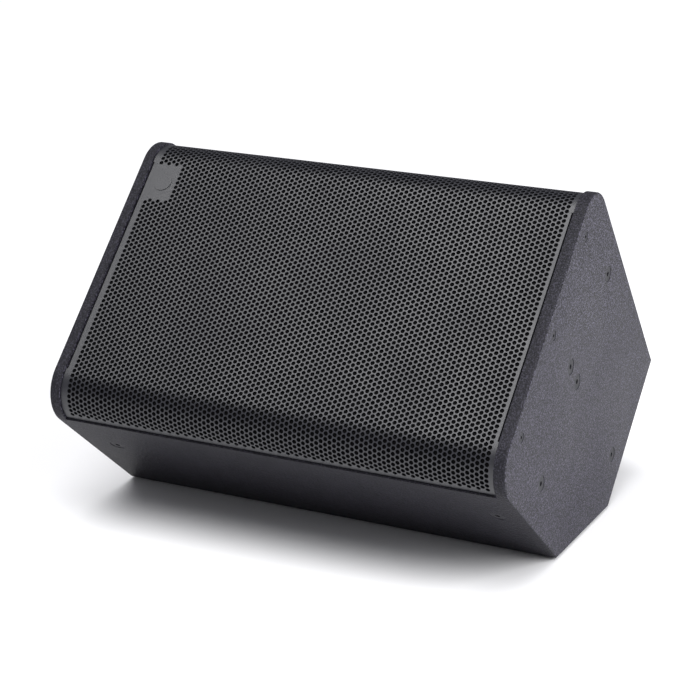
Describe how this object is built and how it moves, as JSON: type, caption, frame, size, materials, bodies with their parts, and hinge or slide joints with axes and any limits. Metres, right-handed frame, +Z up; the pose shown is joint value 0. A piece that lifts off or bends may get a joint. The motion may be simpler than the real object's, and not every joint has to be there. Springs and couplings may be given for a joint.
{
  "type": "pa speaker cabinet",
  "caption": "Two-way PA loudspeaker cabinet with perforated steel grille, tapered sides and a 45 degree floor-monitor face.",
  "frame": {"origin": "centre of the bounding box, on the floor that the rubber feet stand on", "axes": "+X along the cabinet's length towards the horn end, -Y towards the listener in front, +Z up, with the cabinet resting on its monitor-angle face"},
  "size_m": [0.6405, 0.5443, 0.4602],
  "materials": {
    "cabinet_paint": "textured two-pack paint on plywood, satin",
    "plywood": "black-stained plywood, matt",
    "grille_steel": "powder-coated perforated steel, satin",
    "foam": "open-cell acoustic foam",
    "black_screws": "black oxide steel",
    "zinc_steel": "zinc-plated steel",
    "ferrite": "bare ferrite",
    "cast_aluminium": "black-painted casting",
    "cone_paper": "treated paper",
    "surround_cloth": "coated cloth",
    "copper": "enamelled wire",
    "brass_terminals": "plated brass",
    "horn_plastic": "moulded, fine texture",
    "socket_plastic": "glass-filled moulding",
    "titanium": "thin foil",
    "board_green": "solder mask",
    "capacitor_film": "film wrap",
    "resistor_ceramic": "ceramic",
    "handle_steel": "powder coat",
    "grip_rubber": "moulded rubber",
    "cable_jacket": "PVC jacket"
  },
  "bodies": {
    "cabinet": {"baffle_battens": "plywood", "connector_dish": "horn_plastic", "connector_dish_screws": "black_screws", "connector_sockets": "socket_plastic", "crossover_board": "board_green", "crossover_capacitors": "capacitor_film", "crossover_inductors": "copper", "crossover_resistors": "resistor_ceramic", "crossover_standoffs": "zinc_steel", "end_feet": "grip_rubber", "end_panel_left": "cabinet_paint", "end_panel_right": "cabinet_paint", "front_baffle": "plywood", "front_grille": "grille_steel", "grille_badge": "grille_steel", "grille_foam": "foam", "grille_rivet_nuts": "zinc_steel", "grille_screws": "black_screws", "handle_cup": "handle_steel", "handle_grip": "grip_rubber", "handle_screws": "black_screws", "hf_magnet": "ferrite", "hf_rear_cover": "cast_aluminium", "hf_throat_plate": "zinc_steel", "horn": "horn_plastic", "horn_cable": "cable_jacket", "horn_screws": "black_screws", "input_cable": "cable_jacket", "internal_brace": "plywood", "lining_pads": "foam", "lower_side_panel": "cabinet_paint", "mode_switch_body": "horn_plastic", "monitor_angle_panel": "cabinet_paint", "pole_socket": "handle_steel", "pole_socket_screws": "black_screws", "port_tubes": "horn_plastic", "rear_panel": "cabinet_paint", "rear_safety_insert": "zinc_steel", "rigging_blanking_screws": "black_screws", "rigging_inserts": "zinc_steel", "rubber_feet": "grip_rubber", "upper_side_panel": "cabinet_paint", "woofer_back_plate": "zinc_steel", "woofer_basket": "cast_aluminium", "woofer_cable": "cable_jacket", "woofer_gasket": "surround_cloth", "woofer_magnet": "ferrite", "woofer_screws": "black_screws", "woofer_spider": "cone_paper", "woofer_surround": "surround_cloth", "woofer_terminals": "brass_terminals", "woofer_top_plate": "zinc_steel"},
    "woofer_moving_parts": {"woofer_cone": "cone_paper", "woofer_dust_cap": "cone_paper", "woofer_voice_coil": "copper"},
    "hf_moving_parts": {"hf_diaphragm": "titanium"},
    "mode_switch": {"mode_switch_knob": "horn_plastic"}
  },
  "joints": [
    {"name": "woofer_travel", "type": "slide", "parent": "cabinet", "child": "woofer_moving_parts", "axis": [0, -0.7071, 0.7071], "range_m": [-0.006, 0.006], "stiffness_N_per_m": 2500, "deforming": ["woofer_surround", "woofer_spider"]},
    {"name": "hf_diaphragm_travel", "type": "slide", "parent": "cabinet", "child": "hf_moving_parts", "axis": [0, -0.7071, 0.7071], "range_m": [-0.0003, 0.0003], "stiffness_N_per_m": 400},
    {"name": "mode_switch_slide", "type": "slide", "parent": "cabinet", "child": "mode_switch", "axis": [1, 0, 0], "range_m": [0, 0.008]}
  ]
}
